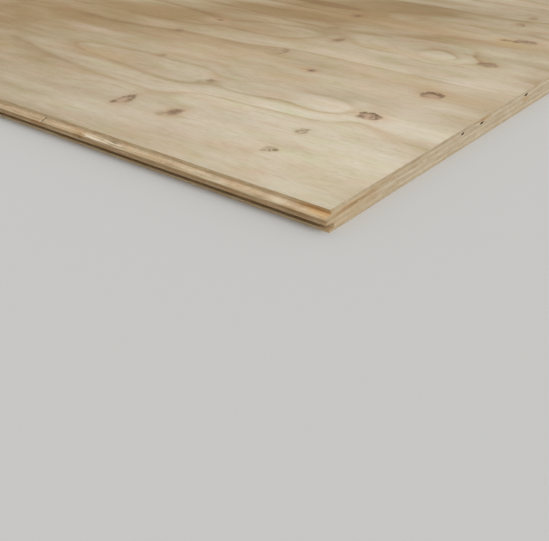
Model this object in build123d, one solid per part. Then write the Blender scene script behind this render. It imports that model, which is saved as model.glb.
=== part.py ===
from build123d import *
import os

# A sheet of softwood plywood with a tongue on one long edge and a groove on the other.
# Seven veneers are glued with their grain crossed, and both edges are then planed to one section.
# X runs along the face grain, Y across the sheet towards the groove, Z up through the veneers.
# The origin is the middle of the underside.

# Sheet, millimetres
sheet_length = 2440.0
sheet_width = 1220.0
outer_veneer = 2.5
inner_veneer = 2.6

# Tongue, with heights measured from the face
tongue_reach = 5.8
upper_shoulder = 3.8
upper_flank_fall = 1.9
nose_height = 5.0
lower_flank_fall = 1.3
nose_round = 1.0

# Kerf under the tongue and the lip that is left below it
kerf_depth = 4.5
kerf_round = 0.6
lip_height = 2.1
lip_reach = 1.0

# Groove, which takes the tongue of the next sheet
flank_clearance = 0.3
nose_clearance = 1.5
mouth_chamfer = 0.5

# Veneers from the underside up
veneers = [
    ("back_veneer", outer_veneer),
    ("lower_crossband", inner_veneer),
    ("lower_core_veneer", inner_veneer),
    ("centre_crossband", inner_veneer),
    ("upper_core_veneer", inner_veneer),
    ("upper_crossband", inner_veneer),
    ("face_veneer", outer_veneer),
]
thickness = sum(height for name, height in veneers)

# The nose and the groove's lips bound the sheet across its width
nose_y = -sheet_width / 2
shoulder_y = nose_y + tongue_reach
lips_y = sheet_width / 2


def tongue_corners(root_y, reach, gap):
    """The tongue's corners grown by a gap: lower root, lower nose, upper nose, upper root.

    root_y is the plane of the upper shoulder, and the lower root lies behind it in the kerf.
    """
    upper_root = thickness - upper_shoulder + gap
    upper_nose = upper_root - upper_flank_fall
    lower_nose = upper_nose - nose_height - 2 * gap
    lower_root = lower_nose - lower_flank_fall
    return [
        (root_y + kerf_depth, lower_root),
        (root_y - reach, lower_nose),
        (root_y - reach, upper_nose),
        (root_y, upper_root),
    ]


# Section across the sheet, from the foot of the lip up over the tongue and round the face.
# Two joined sheets meet at the lip, which leaves lip_reach open between their faces.
with BuildSketch(Plane.YZ) as section:
    with BuildLine():
        Polyline(
            (shoulder_y - lip_reach, 0),
            (shoulder_y - lip_reach, lip_height),
            (shoulder_y + kerf_depth, lip_height),
            *tongue_corners(shoulder_y, tongue_reach, 0),
            (shoulder_y, thickness),
            (lips_y, thickness),
            (lips_y, 0),
            close=True,
        )
    make_face()
    fillet(section.vertices().group_by(Axis.X)[0], nose_round)
    kerf_floor = section.vertices().sort_by_distance((shoulder_y + kerf_depth, lip_height))[0]
    fillet(kerf_floor, kerf_round)
    with BuildLine():
        Polyline(
            *tongue_corners(lips_y + lip_reach, tongue_reach + nose_clearance, flank_clearance),
            close=True,
        )
    make_face(mode=Mode.SUBTRACT)
    lip_corners = section.vertices().group_by(Axis.X)[-1].sort_by(Axis.Y)
    chamfer(lip_corners[1:3], mouth_chamfer)


def veneer_solid(bottom, height):
    """One veneer: the slice of the section between its two glue lines, carried along the sheet."""
    layer = Pos(0, bottom + height / 2) * Rectangle(2 * sheet_width, height)
    profile = Plane.YZ.offset(-sheet_length / 2) * (section.sketch_local & layer)
    return extrude(profile, amount=sheet_length)


os.makedirs("parts", exist_ok=True)
bottom = 0.0
for name, height in veneers:
    solid = veneer_solid(bottom, height)
    solid.label = name
    export_step(solid, f"parts/{name}.step")
    bottom += height
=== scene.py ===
import bmesh
import bpy
import numpy as np
from mathutils import Matrix, Vector


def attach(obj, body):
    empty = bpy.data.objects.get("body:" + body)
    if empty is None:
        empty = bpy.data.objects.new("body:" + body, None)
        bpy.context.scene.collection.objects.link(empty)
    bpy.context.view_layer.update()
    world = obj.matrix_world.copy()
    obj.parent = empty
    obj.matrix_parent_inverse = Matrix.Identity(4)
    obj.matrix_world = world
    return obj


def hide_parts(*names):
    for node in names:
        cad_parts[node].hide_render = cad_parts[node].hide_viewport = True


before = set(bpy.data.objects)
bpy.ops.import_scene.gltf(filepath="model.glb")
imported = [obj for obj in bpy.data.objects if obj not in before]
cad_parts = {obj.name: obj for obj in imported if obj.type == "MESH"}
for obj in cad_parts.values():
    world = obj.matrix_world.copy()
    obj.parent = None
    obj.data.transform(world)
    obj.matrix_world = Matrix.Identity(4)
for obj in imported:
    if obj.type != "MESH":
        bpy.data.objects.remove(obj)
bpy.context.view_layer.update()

# The view
# The picture is taken close to the sheet's near corner, with the tongued edge running off to the left
# and the sawn end to the right. Its two vanishing points give the lens and the turn of the camera.
image_size = np.array([549.0, 541.0])
length_vanishing_pixel = np.array([-940.0, -218.0])
width_vanishing_pixel = np.array([1115.0, -267.0])
near_corner_pixel = np.array([330.5, 210.0])
near_corner = np.array([1.22, -0.6042, 0.018])
near_corner_depth = 0.608
sensor_width = 36.0

image_middle = image_size / 2
focal_pixels = np.sqrt(-np.dot(length_vanishing_pixel - image_middle, width_vanishing_pixel - image_middle))


def sight_line(pixel):
    """Direction through a pixel: right and down in focal lengths from the middle, and one unit forward."""
    return np.append((pixel - image_middle) / focal_pixels, 1.0)


along = -sight_line(length_vanishing_pixel)
along /= np.linalg.norm(along)
across = sight_line(width_vanishing_pixel)
up = np.cross(along, across)
up /= np.linalg.norm(up)
across = np.cross(up, along)
turn = np.stack([along, across, up])
camera_place = near_corner - turn @ (near_corner_depth * sight_line(near_corner_pixel))
camera_matrix = np.eye(4)
camera_matrix[:3, :3] = turn @ np.diag([1.0, -1.0, -1.0])
camera_matrix[:3, 3] = camera_place

camera_data = bpy.data.cameras.new("view_of_near_corner")
camera_data.sensor_width = sensor_width
camera_data.lens = focal_pixels / image_size[0] * sensor_width
camera_data.clip_start = 0.01
camera = bpy.data.objects.new("view_of_near_corner", camera_data)
camera.matrix_world = Matrix(camera_matrix.tolist())
bpy.context.scene.collection.objects.link(camera)
bpy.context.scene.camera = camera

# Back veneer
# The lowest ply is a full sheet of rotary-peeled pine, laid with its grain along the sheet and left rough.
# Its own edges are cut with those of the other plies, by one set of cutters that runs along the sheet.
millimetre = 0.001
sheet_length = 2440.0
thickness = 18.0
glue_lines = np.array([0.0, 2.5, 5.1, 7.7, 10.3, 12.9, 15.5, 18.0])

# Planes across the sheet that the cutters leave, from the tongue's nose to the groove's lips
nose = -610.0
lip = -605.2
shoulder = -604.2
kerf_floor = -599.7
groove_floor = 603.7
mouth = 609.5
lips = 610.0

# Heights of the lip under the kerf, of the tongue's corners, and of the groove's floor and chamfered lips,
# then the rounds of their corners
lip_height = 2.1
lower_root = 6.0
lower_nose = 7.3
upper_nose = 12.3
upper_root = 14.2
lower_chamfer = (5.8, 6.36)
groove_heights = (7.0, 12.6)
upper_chamfer = (14.11, 14.74)
kerf_round = 0.6
nose_round = 0.9
groove_round = 0.3
points_per_round = 5

# Cells of the meshes: fine ones on the edges and ends, and a few of them to a coarse one on the broad sides
edge_pitch = 0.45
end_pitch = 0.43
end_margin = 0.9
fine_per_coarse = 3
smallest_step = 0.02
slight_bend_radians = 0.6


def rounded(corners):
    """An outline whose rows give a corner's two places and its radius, which is nought for a sharp corner.

    Each round is a parabola from a point one radius before the corner to a point one radius after it, drawn
    towards the corner itself.
    """
    places = np.array(corners)[:, :2]
    share = np.linspace(0, 1, points_per_round)[:, None]
    points = []
    for here, (corner, radius) in enumerate(zip(places, np.array(corners)[:, 2])):
        if radius == 0:
            points.append(corner[None])
            continue
        before = places[here - 1] - corner
        after = places[here + 1] - corner
        start = corner + radius * before / np.linalg.norm(before)
        stop = corner + radius * after / np.linalg.norm(after)
        points.append((1 - share) ** 2 * start + 2 * share * (1 - share) * corner + share**2 * stop)
    return np.concatenate(points)


tongue_outline = rounded(
    [
        (lip, 0.0, 0),
        (lip, lip_height, 0),
        (kerf_floor, lip_height, kerf_round),
        (kerf_floor, lower_root, 0),
        (nose, lower_nose, nose_round),
        (nose, upper_nose, nose_round),
        (shoulder, upper_root, 0),
        (shoulder, thickness, 0),
    ]
)
groove_outline = rounded(
    [
        (lips, 0.0, 0),
        (lips, lower_chamfer[0], 0),
        (mouth, lower_chamfer[1], 0),
        (groove_floor, groove_heights[0], groove_round),
        (groove_floor, groove_heights[1], groove_round),
        (mouth, upper_chamfer[0], 0),
        (lips, upper_chamfer[1], 0),
        (lips, thickness, 0),
    ]
)


def edge_rows(outline, low, high):
    """The rows of one veneer: an outline between two heights, with each straight run divided evenly."""
    run = np.append(0, np.cumsum(np.linalg.norm(np.diff(outline, axis=0), axis=1)))
    start, stop = np.interp([low, high], outline[:, 1], run)
    breaks = [start, *run[(run > start + smallest_step) & (run < stop - smallest_step)], stop]
    rows = [
        np.linspace(a, b, max(1, int(np.ceil((b - a) / edge_pitch))), endpoint=False)
        for a, b in zip(breaks[:-1], breaks[1:])
    ]
    rows = np.append(np.concatenate(rows), stop)
    return np.stack([np.interp(rows, run, outline[:, 0]), np.interp(rows, run, outline[:, 1])], 1)


def stations(spans):
    """Distances from the near corner. A span is a number of equal cells and the length that they fill."""
    cells = np.concatenate([np.full(count, length / count) for count, length in spans])
    return np.append(0, np.cumsum(cells))


coarse_x = sheet_length / 2 - stations([(160, 640.0), (48, 360.0), (100, 1440.0)])
coarse_y = shoulder + stations([(130, 520.0), (40, 240.0), (38, lips - shoulder - 760.0)])


def finer(places):
    """Every cell between two stations divided evenly into the fine cells of the edges."""
    index = np.arange((len(places) - 1) * fine_per_coarse + 1) / fine_per_coarse
    return np.interp(index, np.arange(len(places)), places)


fine_x = finer(coarse_x)
fine_y = finer(coarse_y)


def drift(u, v, seed):
    """Smooth chance from -1 to 1: random values at whole numbers, eased from each to the next both ways."""
    span = 256
    table = np.random.default_rng(seed).uniform(-1, 1, (span, span))
    whole_u = np.floor(u).astype(int)
    whole_v = np.floor(v).astype(int)
    share_u = u - whole_u
    share_v = v - whole_v
    share_u = share_u * share_u * (3 - 2 * share_u)
    share_v = share_v * share_v * (3 - 2 * share_v)
    here_u, next_u = whole_u % span, (whole_u + 1) % span
    here_v, next_v = whole_v % span, (whole_v + 1) % span
    near = table[here_u, here_v] * (1 - share_u) + table[next_u, here_v] * share_u
    far = table[here_u, next_v] * (1 - share_u) + table[next_u, next_v] * share_u
    return near * (1 - share_v) + far * share_v


def quads(ids):
    """Four-sided faces between neighbouring rows and columns of a grid of vertex numbers."""
    return np.stack([ids[:-1, :-1], ids[1:, :-1], ids[1:, 1:], ids[:-1, 1:]], -1).reshape(-1, 4)


def outward(rows, side):
    """Outward direction of each row: the outline's run turned by a quarter, and level on the glue lines."""
    run = np.gradient(rows, axis=0)
    run /= np.linalg.norm(run, axis=1)[:, None]
    normal = side * np.stack([run[:, 1], -run[:, 0]], 1)
    normal[[0, -1]] = (side, 0)
    return normal


def closed_skin(name, place, faces, slots):
    """An object from points in millimetres, with faces turned outwards and slight bends shaded smooth."""
    mesh = bpy.data.meshes.new(name)
    mesh.from_pydata((place * millimetre).tolist(), [], faces)
    mesh.polygons.foreach_set("material_index", slots.astype(np.int32))
    skin = bmesh.new()
    skin.from_mesh(mesh)
    bmesh.ops.recalc_face_normals(skin, faces=skin.faces)
    skin.to_mesh(mesh)
    skin.free()
    mesh.shade_smooth()
    mesh.set_sharp_from_angle(angle=slight_bend_radians)
    piece = bpy.data.objects.new(name, mesh)
    bpy.context.scene.collection.objects.link(piece)
    return piece


def cut_veneer(name, layer, edge_relief, end_relief, broad_relief=None, broad_at=None):
    """One veneer as a closed skin, with its cut edges and ends as fine grids.

    Rows of an outline are carried along the sheet for the two long edges, and rows between the glue lines
    are carried across it for the two ends. Each point then moves inwards by the relief at its place, but
    stays between its glue lines. The broad surface that shows is a grid of coarse cells, and the glued one
    is a single flat face.
    """
    low, high = glue_lines[layer], glue_lines[layer + 1]
    tongue = edge_rows(tongue_outline, low, high)
    groove = edge_rows(groove_outline, low, high)
    places = []
    taken = 0

    def add(x, y, z):
        nonlocal taken
        x, y, z = np.broadcast_arrays(x, y, z)
        places.append(np.stack([x, y, z], -1).reshape(-1, 3))
        taken += x.size
        return np.arange(taken - x.size, taken).reshape(x.shape)

    tongue_ids = add(fine_x[:, None], tongue[None, :, 0], tongue[None, :, 1])
    groove_ids = add(fine_x[:, None], groove[None, :, 0], groove[None, :, 1])
    inner = (fine_y > tongue[:, 0].max() + end_margin) & (fine_y < groove[:, 0].min() - end_margin)
    inner_y = fine_y[inner]
    heights = np.linspace(low, high, int(np.ceil((high - low) / end_pitch)) + 1)
    near_ids = add(fine_x[0], inner_y[:, None], heights[None])
    far_ids = add(fine_x[-1], inner_y[:, None], heights[None])

    edge_faces = [quads(tongue_ids), quads(groove_ids)]
    end_faces = [quads(near_ids), quads(far_ids)]
    end_faces += [
        np.append(outline_ids[row], end_ids[column][::-1])[None]
        for end_ids, row in ((near_ids, 0), (far_ids, -1))
        for outline_ids, column in ((tongue_ids, 0), (groove_ids, -1))
    ]

    broad_faces = []
    for level in (0, -1):
        near = np.concatenate([[tongue_ids[0, level]], near_ids[:, level], [groove_ids[0, level]]])
        far = np.concatenate([[tongue_ids[-1, level]], far_ids[:, level], [groove_ids[-1, level]]])
        if level != broad_at:
            border = [tongue_ids[:, level], far[1:-1], groove_ids[::-1, level], near[1:-1][::-1]]
            broad_faces.append(np.concatenate(border)[None])
            continue
        border_y = np.concatenate([[tongue[level, 0]], inner_y, [groove[level, 0]]])
        kept_y = [y for y in coarse_y[1:-1] if inner_y[0] < y < inner_y[-1]]
        marks = [0, *np.searchsorted(border_y, np.array(kept_y) - 1e-6), len(border_y) - 1]
        coarse = np.zeros((len(coarse_x), len(marks)), int)
        coarse[:, 0] = tongue_ids[::fine_per_coarse, level]
        coarse[:, -1] = groove_ids[::fine_per_coarse, level]
        coarse[0] = near[marks]
        coarse[-1] = far[marks]
        coarse[1:-1, 1:-1] = add(coarse_x[1:-1, None], np.array(kept_y)[None], tongue[level, 1])
        broad_faces.append(quads(coarse[1:-1, 1:-1]))
        cells = np.arange(1, len(coarse_x) - 2)
        for outline_ids, column, inside in ((tongue_ids, 0, 1), (groove_ids, -1, -2)):
            outer = [outline_ids[cells * fine_per_coarse + k, level] for k in range(fine_per_coarse + 1)]
            broad_faces.append(np.stack([*outer, coarse[cells + 1, inside], coarse[cells, inside]], -1))
        for end, row, inside in ((near, 0, 1), (far, -1, -2)):
            for cell in range(1, len(marks) - 2):
                outer = end[marks[cell] : marks[cell + 1] + 1]
                broad_faces.append(np.append(outer, coarse[inside, [cell + 1, cell]])[None])
            row_ids = np.arange(fine_per_coarse + 1)
            if row == -1:
                row_ids = len(fine_x) - 1 - row_ids
            corners = ((tongue_ids, 1, end[: marks[1] + 1]), (groove_ids, -2, end[marks[-2] :][::-1]))
            for outline_ids, column, corner in corners:
                loop = [corner[::-1], outline_ids[row_ids[1:], level], [coarse[inside, column]]]
                broad_faces.append(np.concatenate(loop)[None])

    place = np.concatenate(places)
    base = place.copy()
    for ids, rows, side in ((tongue_ids, tongue, -1), (groove_ids, groove, 1)):
        depth = edge_relief(base[ids, 0], base[ids, 1], base[ids, 2])
        place[ids, 1:] -= depth[..., None] * outward(rows, side)[None]
        between = ids[:, 1:-1]
        place[between, 2] = np.clip(place[between, 2], low + smallest_step, high - smallest_step)
    for ids in (near_ids, far_ids, tongue_ids[[0, -1]], groove_ids[[0, -1]]):
        depth = end_relief(base[ids, 0], base[ids, 1], base[ids, 2])
        place[ids, 0] -= depth * np.sign(base[ids, 0])
    if broad_at is not None:
        level = high if broad_at == -1 else low
        broad = np.abs(base[:, 2] - level) < 1e-6
        depth = broad_relief(base[broad, 0], base[broad, 1])
        place[broad, 2] -= depth * (1 if broad_at == -1 else -1)
    place[:, 2] = np.clip(place[:, 2], 0, thickness)

    groups = [broad_faces, edge_faces, end_faces]
    faces = [face for group in groups for block in group for face in block.tolist()]
    slots = np.repeat([0, 1, 2], [sum(len(block) for block in group) for group in groups])
    return closed_skin(name, place, faces, slots), base


def store(piece, name, values):
    """Puts one number or one vector for each vertex into the mesh, where the materials read it."""
    kind, key = ("FLOAT", "value") if values.ndim == 1 else ("FLOAT_VECTOR", "vector")
    attribute = piece.data.attributes.new(name, kind, "POINT")
    attribute.data.foreach_set(key, values.astype(np.float32).ravel())


def ring_waves(x, y, seed):
    """Height of the growth rings above the peeled surface, in rings: long low waves along the grain.

    A steady rise across the sheet carries two sets of cosine waves of random direction, each stretched
    along the grain.
    """
    rings_per_millimetre = 0.0062
    first_ring = 0.6
    chance = np.random.default_rng(seed)
    height = rings_per_millimetre * (y - shoulder) + first_ring
    for wave_length, wave_width, amount, count in ((820, 105, 0.36, 18), (240, 46, 0.07, 16)):
        for _ in range(count):
            heading, size, phase = chance.uniform([0, 0.6, 0], [2 * np.pi, 1.5, 2 * np.pi])
            crest = size * (np.cos(heading) * x / wave_length + np.sin(heading) * y / wave_width)
            height = height + amount * np.sqrt(2 / count) * np.cos(2 * np.pi * crest + phase)
    return height


def whorl_knots(seed, columns, keep_out=None):
    """Knots of a pine stem as the knife unrolls them: each whorl is a column of knots across the sheet.

    A row of the result is the knot's place, its two radii, its strength, how open it is and its turn. An
    open knot has a pale middle inside a dark bark line. With no turn, the line is widest on the groove's
    side.
    """
    first_y, last_y, spacing = -590, 600, 118.0
    missing_share = 0.22
    chance = np.random.default_rng(seed)
    knots = []
    for centre in columns:
        for y in np.arange(first_y, last_y, spacing):
            if chance.random() < missing_share:
                continue
            x = centre + chance.normal(0, 16)
            across = y + chance.uniform(0, 100)
            radius = chance.choice([3.5, 5, 7, 9.5, 11], p=[0.25, 0.25, 0.2, 0.18, 0.12])
            shape = chance.uniform(0.85, 1.25)
            strength = chance.choice([0.35, 0.7, 1.0], p=[0.35, 0.3, 0.35])
            openness = chance.uniform(0.0, 1.0)
            turn = chance.uniform(-1.2, 1.2)
            if keep_out is None or not keep_out(x, across):
                knots.append((x, across, radius * shape, radius / shape, strength, openness, turn))
    return np.array(knots)


def knot_fields(x, y, knots):
    """For each place, the turned way from its nearest knot in that knot's radii, its strength and openness.

    The strength fades out from two to three radii away, before another knot becomes the nearest.
    """
    best = np.full(x.shape, np.inf)
    way = np.zeros(x.shape + (3,))
    openness = np.zeros(x.shape)
    for knot_x, knot_y, along_radius, across_radius, strength, gap, turn in knots:
        u = (x - knot_x) / along_radius
        v = (y - knot_y) / across_radius
        reach = np.hypot(x - knot_x, y - knot_y) - 2 * max(along_radius, across_radius)
        closer = reach < best
        best = np.where(closer, reach, best)
        radii = np.hypot(u, v)
        far = np.maximum(1, radii / 6)
        turned_u = np.cos(turn) * u - np.sin(turn) * v
        turned_v = np.sin(turn) * u + np.cos(turn) * v
        fade = strength * np.clip(3 - radii, 0, 1)
        way[closer] = np.stack([turned_u / far, turned_v / far, fade], -1)[closer]
        openness[closer] = gap
    return way, openness


def knot_swell(x, y, knots):
    """Rise of the growth rings round the knots, in rings: a bell round each one, longer along the grain."""
    bell_length, bell_width = 3.6, 2.2
    swell = np.zeros(x.shape)
    for knot_x, knot_y, along_radius, across_radius, strength, _, _ in knots:
        way_x = (x - knot_x) / (bell_length * along_radius)
        reach = np.hypot(way_x, (y - knot_y) / (bell_width * across_radius))
        swell += (0.20 + 0.35 * strength) * np.exp(-(reach**2))
    return swell


def put(tree, kind, inputs, **settings):
    """One shader node with its settings, and with numbers, colours or other nodes' sockets as inputs."""
    node = tree.nodes.new(kind)
    for key, value in settings.items():
        setattr(node, key, value)
    for key, value in inputs.items():
        if isinstance(value, bpy.types.NodeSocket):
            tree.links.new(value, node.inputs[key])
        else:
            node.inputs[key].default_value = value
    return node


def calc(tree, operation, first, second=0.0, clamp=False):
    node = put(tree, "ShaderNodeMath", {0: first, 1: second}, operation=operation, use_clamp=clamp)
    return node.outputs[0]


def ramp(tree, value, low, high, to_low=0.0, to_high=1.0, smooth=False):
    inputs = {"Value": value, "From Min": low, "From Max": high, "To Min": to_low, "To Max": to_high}
    kind = "SMOOTHSTEP" if smooth else "LINEAR"
    return put(tree, "ShaderNodeMapRange", inputs, interpolation_type=kind).outputs[0]


def tinted(tree, share, base, other, kind="MIX"):
    node = put(tree, "ShaderNodeMix", {0: share, 6: base, 7: other}, data_type="RGBA", blend_type=kind)
    return node.outputs[2]


def coated(tree, colour, coats):
    """A colour under several coats in turn. A row gives one coat's kind, strength, share and own colour."""
    for kind, strength, share, coat in coats:
        colour = tinted(tree, calc(tree, "MULTIPLY", share, strength), colour, coat, kind)
    return colour


def noise(tree, place, scale, detail=2.0, stretch=(1.0, 1.0, 1.0), shift=(0.0, 0.0, 0.0), rough=0.5):
    moved = put(tree, "ShaderNodeMapping", {"Vector": place, "Location": shift, "Scale": stretch})
    inputs = {"Vector": moved.outputs[0], "Scale": scale, "Detail": detail, "Roughness": rough}
    return put(tree, "ShaderNodeTexNoise", inputs).outputs[0]


def group(name, inputs, outputs):
    """A new shader group with named sockets, its input sockets and its output sockets."""
    tree = bpy.data.node_groups.new(name, "ShaderNodeTree")
    for socket, kind in inputs:
        tree.interface.new_socket(socket, in_out="INPUT", socket_type=kind)
    for socket, kind in outputs:
        tree.interface.new_socket(socket, in_out="OUTPUT", socket_type=kind)
    return tree, tree.nodes.new("NodeGroupInput").outputs, tree.nodes.new("NodeGroupOutput").inputs


number = "NodeSocketFloat"
vector = "NodeSocketVector"

# Fibres of pine along the first axis, in millimetres: soft streaks, fine threads, short resin ducts and
# the flecks where the knife lifted the fibres a little.
fibres, given, result = group(
    "pine_fibres",
    [("Place", vector)],
    [("Streak", number), ("Thread", number), ("Duct", number), ("Fleck", number)],
)
bend = noise(fibres, given["Place"], 1.0, 1.0, (0.011, 0.035, 0.035))
lean = put(fibres, "ShaderNodeCombineXYZ", {1: calc(fibres, "MULTIPLY", bend, 14.0)}).outputs[0]
threads = put(fibres, "ShaderNodeVectorMath", {0: given["Place"], 1: lean}, operation="ADD").outputs[0]
fibres.links.new(noise(fibres, threads, 1.0, 3.0, (0.018, 0.55, 0.55)), result["Streak"])
fibres.links.new(noise(fibres, threads, 1.0, 3.0, (0.07, 3.4, 3.4)), result["Thread"])
duct = noise(fibres, threads, 1.0, 0.0, (0.16, 2.1, 2.1), (31.0, 7.0, 3.0))
fibres.links.new(ramp(fibres, duct, 0.70, 0.78), result["Duct"])
fleck = noise(fibres, threads, 1.0, 4.0, (0.07, 0.26, 0.26), (5.0, 80.0, 0.0), 0.62)
fibres.links.new(ramp(fibres, fleck, 0.46, 0.66), result["Fleck"])

# Growth rings, which end where the ring height passes a whole number: a line of latewood, the warmer wood
# before it, and faint lines between in places.
rings, given, result = group(
    "growth_rings",
    [("Ring", number), ("Streak", number), ("Thread", number), ("Place", vector)],
    [("Late", number), ("Warm", number), ("Faint", number)],
)
wavy = calc(rings, "MULTIPLY_ADD", given["Streak"], 0.12)
wavy.node.inputs[2].default_value = -0.06
fuzzy = calc(rings, "MULTIPLY_ADD", given["Thread"], 0.07)
rings.links.new(wavy, fuzzy.node.inputs[2])
uneven_ring = calc(rings, "ADD", given["Ring"], fuzzy)
part = calc(rings, "FRACT", uneven_ring)
rise = calc(rings, "POWER", ramp(rings, part, 0.62, 1.0), 2.0)
fall = ramp(rings, part, 0.0, 0.15, 1.0, 0.0, smooth=True)
clearness = noise(rings, given["Place"], 1.0, 2.0, (0.010, 0.03, 0.03), (40.0, 3.0, 0.0))
worn = ramp(rings, clearness, 0.33, 0.66, 0.15, 0.95)
rings.links.new(calc(rings, "MULTIPLY", calc(rings, "MAXIMUM", rise, fall), worn), result["Late"])
slow_rise = calc(rings, "POWER", ramp(rings, part, 0.35, 1.0), 1.6)
slow_fall = ramp(rings, part, 0.0, 0.22, 1.0, 0.0, smooth=True)
warmth = noise(rings, given["Place"], 1.0, 1.0, (0.008, 0.025, 0.025), (13.0, 1.0, 0.0))
warm = calc(rings, "MAXIMUM", slow_rise, slow_fall)
rings.links.new(calc(rings, "MULTIPLY", warm, ramp(rings, warmth, 0.38, 0.62)), result["Warm"])
between = calc(rings, "FRACT", calc(rings, "MULTIPLY", uneven_ring, 3.0))
between = calc(rings, "POWER", calc(rings, "ABSOLUTE", ramp(rings, between, 0.0, 1.0, -1.0, 1.0)), 5.0)
shown = noise(rings, given["Place"], 1.0, 1.0, (0.006, 0.02, 0.02), (3.0, 8.0, 0.0))
rings.links.new(calc(rings, "MULTIPLY", between, ramp(rings, shown, 0.42, 0.62)), result["Faint"])

# A knot, from the turned way to its middle in its own radii. An open knot has a pale body inside a dark
# bark line that is wide on one side, and a closed one is a soft dark spot. The wood round both is stained.
knot_group, given, result = group(
    "knots",
    [("Way", vector), ("Place", vector), ("Openness", number)],
    [("Body", number), ("Dark", number), ("Halo", number), ("Rings", number)],
)
parts = put(knot_group, "ShaderNodeSeparateXYZ", {0: given["Way"]}).outputs
flat_way = put(knot_group, "ShaderNodeCombineXYZ", {0: parts[0], 1: parts[1]}).outputs[0]
ragged = noise(knot_group, given["Place"], 0.14, 2.0)
uneven = calc(knot_group, "MULTIPLY_ADD", ragged, 1.1)
uneven.node.inputs[2].default_value = -0.55
reach = put(knot_group, "ShaderNodeVectorMath", {0: flat_way}, operation="LENGTH").outputs["Value"]
reach = calc(knot_group, "ADD", reach, uneven)
bark_shift = (0.0, 0.30, 0.0)
inner_way = put(knot_group, "ShaderNodeVectorMath", {0: flat_way, 1: bark_shift}, operation="ADD")
inner_way = inner_way.outputs[0]
inner = put(knot_group, "ShaderNodeVectorMath", {0: inner_way}, operation="LENGTH").outputs["Value"]
uneven_inside = noise(knot_group, given["Place"], 0.19, 2.0, shift=(9.0, 4.0, 0.0))
inner = calc(knot_group, "ADD", inner, ramp(knot_group, uneven_inside, 0.0, 1.0, -0.65, 0.65))
body = ramp(knot_group, reach, 0.74, 1.16, 1.0, 0.0, smooth=True)
knot_group.links.new(calc(knot_group, "MULTIPLY", body, parts[2]), result["Body"])
bark = calc(knot_group, "MULTIPLY", body, ramp(knot_group, inner, 0.45, 0.95, 0.0, 1.0, smooth=True))
bark = calc(knot_group, "MULTIPLY", bark, ramp(knot_group, parts[1], -0.9, 0.1, 0.35, 1.0))
spot = calc(knot_group, "MULTIPLY", ramp(knot_group, reach, 0.15, 1.15, 1.0, 0.0, smooth=True), 0.85)
open_share = ramp(knot_group, given["Openness"], 0.1, 0.6)
dark = put(knot_group, "ShaderNodeMix", {0: open_share, 2: spot, 3: bark}, data_type="FLOAT").outputs[0]
speckled = ramp(knot_group, noise(knot_group, given["Place"], 0.42, 2.0), 0.34, 0.58, 0.5, 1.0)
dark = calc(knot_group, "MULTIPLY", dark, speckled)
knot_group.links.new(calc(knot_group, "MULTIPLY", dark, parts[2]), result["Dark"])
halo = calc(knot_group, "POWER", ramp(knot_group, reach, 0.7, 2.8, 1.0, 0.0), 1.8)
knot_group.links.new(calc(knot_group, "MULTIPLY", halo, parts[2]), result["Halo"])
own_rings = calc(knot_group, "SINE", calc(knot_group, "MULTIPLY", inner, 22.0))
knot_group.links.new(ramp(knot_group, own_rings, -1.0, 1.0), result["Rings"])


def millimetres(tree):
    """The object's own coordinates, in millimetres."""
    own = put(tree, "ShaderNodeTexCoord", {}).outputs["Object"]
    node = put(tree, "ShaderNodeVectorMath", {0: own, "Scale": 1 / millimetre}, operation="SCALE")
    return node.outputs[0]


def blank_material(name, specular):
    """A new material with one surface shader, whose specular level is set on its own socket."""
    material = bpy.data.materials.new(name)
    material.use_nodes = True
    surface = material.node_tree.nodes["Principled BSDF"]
    surface.inputs["Specular IOR Level"].default_value = specular
    return material, material.node_tree, surface


def read(tree, name):
    return put(tree, "ShaderNodeAttribute", {}, attribute_name=name).outputs


# Colours on peeled pine. A cast is multiplied with what lies under it, and wood or bark covers it.
rosy_cast = (1.02, 0.93, 0.92, 1)
green_cast = (0.91, 0.96, 0.82, 1)
warm_cast = (0.95, 0.84, 0.67, 1)
streak_cast = (0.92, 0.90, 0.85, 1)
fleck_cast = (0.945, 0.925, 0.885, 1)
thread_cast = (0.86, 0.81, 0.74, 1)
duct_cast = (0.52, 0.40, 0.28, 1)
halo_cast = (0.88, 0.70, 0.52, 1)
orange_wood = (0.60, 0.40, 0.20, 1)
pink_wood = (0.76, 0.645, 0.54, 1)
knot_wood = (0.47, 0.31, 0.215, 1)
knot_ring_wood = (0.31, 0.19, 0.13, 1)
knot_bark = (0.115, 0.066, 0.022, 1)


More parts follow.
